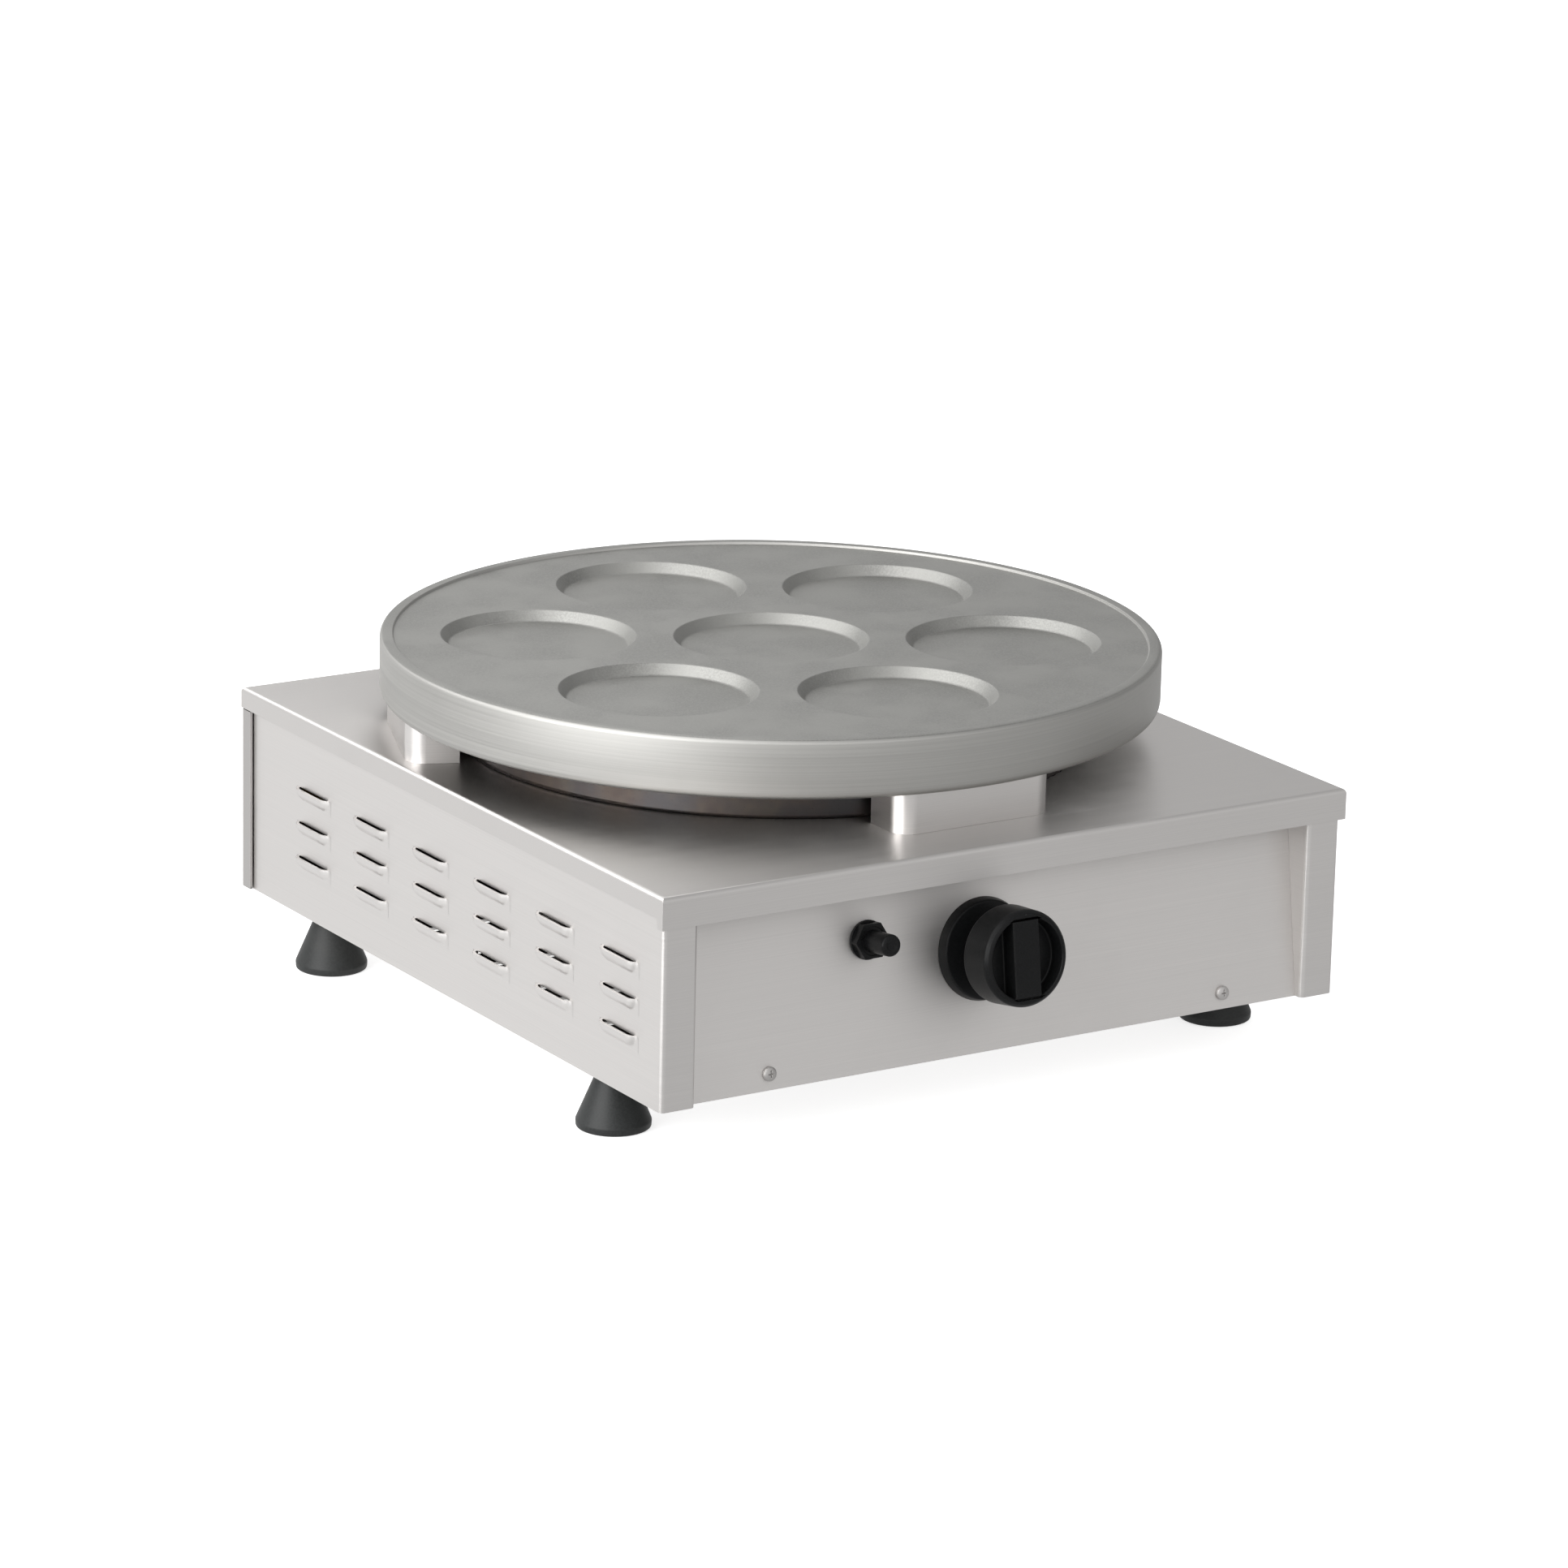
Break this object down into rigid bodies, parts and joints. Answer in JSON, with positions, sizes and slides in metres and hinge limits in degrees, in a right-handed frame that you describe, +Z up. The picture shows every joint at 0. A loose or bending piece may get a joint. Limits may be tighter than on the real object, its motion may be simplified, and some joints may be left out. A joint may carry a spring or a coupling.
{
  "type": "gas pancake machine",
  "caption": "Countertop gas pancake machine: a folded steel case on rubber feet carries a round cast plate with shallow round pits over a ring burner, with a push-and-turn knob and igniter.",
  "frame": {"origin": "on the table, below the middle of the whole machine's box", "axes": "+X to the right of the machine, +Y to its back, where the gas inlet is, +Z up; the knob's side faces -Y"},
  "size_m": [0.404, 0.4785, 0.19],
  "materials": {
    "stainless_steel": "finely brushed",
    "cast_iron_plate": "machined and lightly oiled",
    "burner_iron": "raw casting",
    "zinc_hardware": "zinc plated",
    "brass_fitting": "turned",
    "copper_pipe": "drawn",
    "black_plastic": "satin",
    "black_rubber": "matt",
    "white_ceramic": "glazed"
  },
  "bodies": {
    "case": {"top_cover": "stainless_steel", "left_side_panel": "stainless_steel", "right_side_panel": "stainless_steel", "front_panel": "stainless_steel", "back_panel": "stainless_steel", "base_plate": "stainless_steel", "cooking_plate": "cast_iron_plate", "front_plate_support": "stainless_steel", "left_plate_support": "stainless_steel", "right_plate_support": "stainless_steel", "plate_studs": "zinc_hardware", "plate_nuts": "zinc_hardware", "support_screws": "zinc_hardware", "support_nuts": "zinc_hardware", "flame_guard": "stainless_steel", "guard_rivets": "zinc_hardware", "burner_ring": "burner_iron", "mixer_tube": "burner_iron", "burner_legs": "stainless_steel", "leg_screws": "zinc_hardware", "injector": "brass_fitting", "feed_pipe": "copper_pipe", "gas_valve": "brass_fitting", "valve_lock_nut": "zinc_hardware", "safety_magnet": "zinc_hardware", "flame_probe": "copper_pipe", "inlet_pipe": "copper_pipe", "gas_inlet": "brass_fitting", "inlet_lock_nut": "brass_fitting", "knob_bezel": "black_plastic", "igniter_body": "black_plastic", "igniter_collar": "black_plastic", "spark_lead": "black_rubber", "spark_electrode": "white_ceramic", "probe_holder": "stainless_steel", "front_left_foot": "black_rubber", "front_right_foot": "black_rubber", "back_left_foot": "black_rubber", "back_right_foot": "black_rubber", "foot_screws": "zinc_hardware", "foot_nuts": "zinc_hardware", "panel_screws": "zinc_hardware", "back_screws": "zinc_hardware"},
    "push_rod": {"valve_push_rod": "brass_fitting"},
    "knob": {"valve_stem": "zinc_hardware", "knob": "black_plastic"},
    "button": {"igniter_button": "black_plastic"}
  },
  "joints": [
    {"name": "knob_push", "type": "slide", "parent": "case", "child": "push_rod", "axis": [0, 0.9903, -0.1392], "range_m": [0, 0.004], "stiffness_N_per_m": 600, "springref_m": -0.002},
    {"name": "knob_turn", "type": "hinge", "parent": "push_rod", "child": "knob", "pos_m": [-0.008, -0.19648, 0.082], "axis": [0, -0.9903, 0.1392], "range_deg": [0, 180]},
    {"name": "igniter_press", "type": "slide", "parent": "case", "child": "button", "axis": [0, 0.9903, -0.1392], "range_m": [0, 0.005], "stiffness_N_per_m": 900, "springref_m": -0.003}
  ]
}
